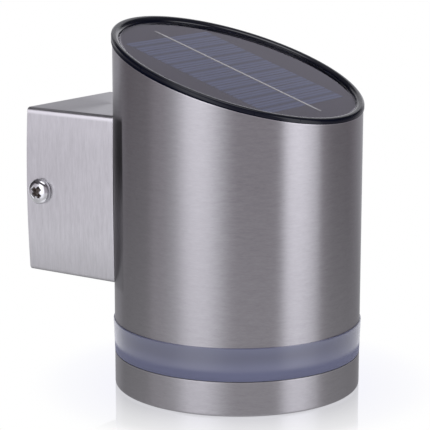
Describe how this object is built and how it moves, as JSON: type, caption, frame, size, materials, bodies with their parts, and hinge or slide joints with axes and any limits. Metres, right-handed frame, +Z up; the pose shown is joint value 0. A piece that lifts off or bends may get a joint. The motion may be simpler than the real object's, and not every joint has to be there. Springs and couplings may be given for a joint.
{
  "type": "solar wall light",
  "caption": "Cylindrical steel solar wall light with a slanted solar panel top, a frosted light ring near the base, and a box bracket that slides over a slotted wall plate.",
  "frame": {"origin": "centre of the two wall slots, on the wall plane, which is the back face of the wall plate", "axes": "+Z up along the tube, +Y into the wall, so the lamp stands out along -Y and its slanted panel faces up and away from the wall; +X to the right as the wall is faced"},
  "size_m": [0.0908, 0.1225, 0.1319],
  "materials": {
    "brushed_steel": "brushed",
    "plate_steel": "satin",
    "gloss_black": "gloss",
    "seal_rubber": "matte",
    "tape": "matte",
    "panel_grey": "satin",
    "silicon": "satin",
    "silver": "satin",
    "clear_resin": "gloss",
    "frosted": "frosted",
    "moulded_black": "matte",
    "moulded_white": "satin",
    "diode": "gloss",
    "lead_red": "satin",
    "lead_white": "satin",
    "lead_blue": "satin",
    "battery_sleeve": "gloss",
    "spring_steel": "satin",
    "board_green": "satin",
    "ferrite": "matte",
    "capacitor_sleeve": "gloss",
    "socket_cream": "satin",
    "slider_grey": "satin",
    "bright_screw": "satin",
    "chrome": "polished"
  },
  "bodies": {
    "lamp": {"tube_shell": "brushed_steel", "panel_bezel": "gloss_black", "bezel_seal": "seal_rubber", "panel_tape": "tape", "panel_board": "panel_grey", "solar_cells": "silicon", "cell_ribbon": "silver", "panel_resin": "clear_resin", "panel_leads": "lead_red", "diffuser_ring": "frosted", "bottom_cap": "brushed_steel", "base_frame": "moulded_black", "base_screws": "bright_screw", "reflector": "moulded_white", "led_board": "moulded_white", "leds": "diode", "led_board_screws": "bright_screw", "led_leads": "lead_white", "chassis": "moulded_black", "battery_holder": "moulded_black", "batteries": "battery_sleeve", "battery_contacts": "spring_steel", "battery_springs": "spring_steel", "battery_leads": "lead_red", "control_board": "board_green", "control_chip": "moulded_black", "inductor": "ferrite", "capacitor": "capacitor_sleeve", "lead_sockets": "socket_cream", "power_switch": "moulded_black", "switch_leads": "lead_blue", "bracket_box": "brushed_steel", "bracket_bolts": "bright_screw", "bracket_nuts": "bright_screw", "wall_plate": "plate_steel", "side_screws": "chrome"},
    "slider": {"switch_slider": "slider_grey"}
  },
  "joints": [
    {"name": "switch_slide", "type": "slide", "parent": "lamp", "child": "slider", "axis": [1, 0, 0], "range_m": [0, 0.003]}
  ]
}
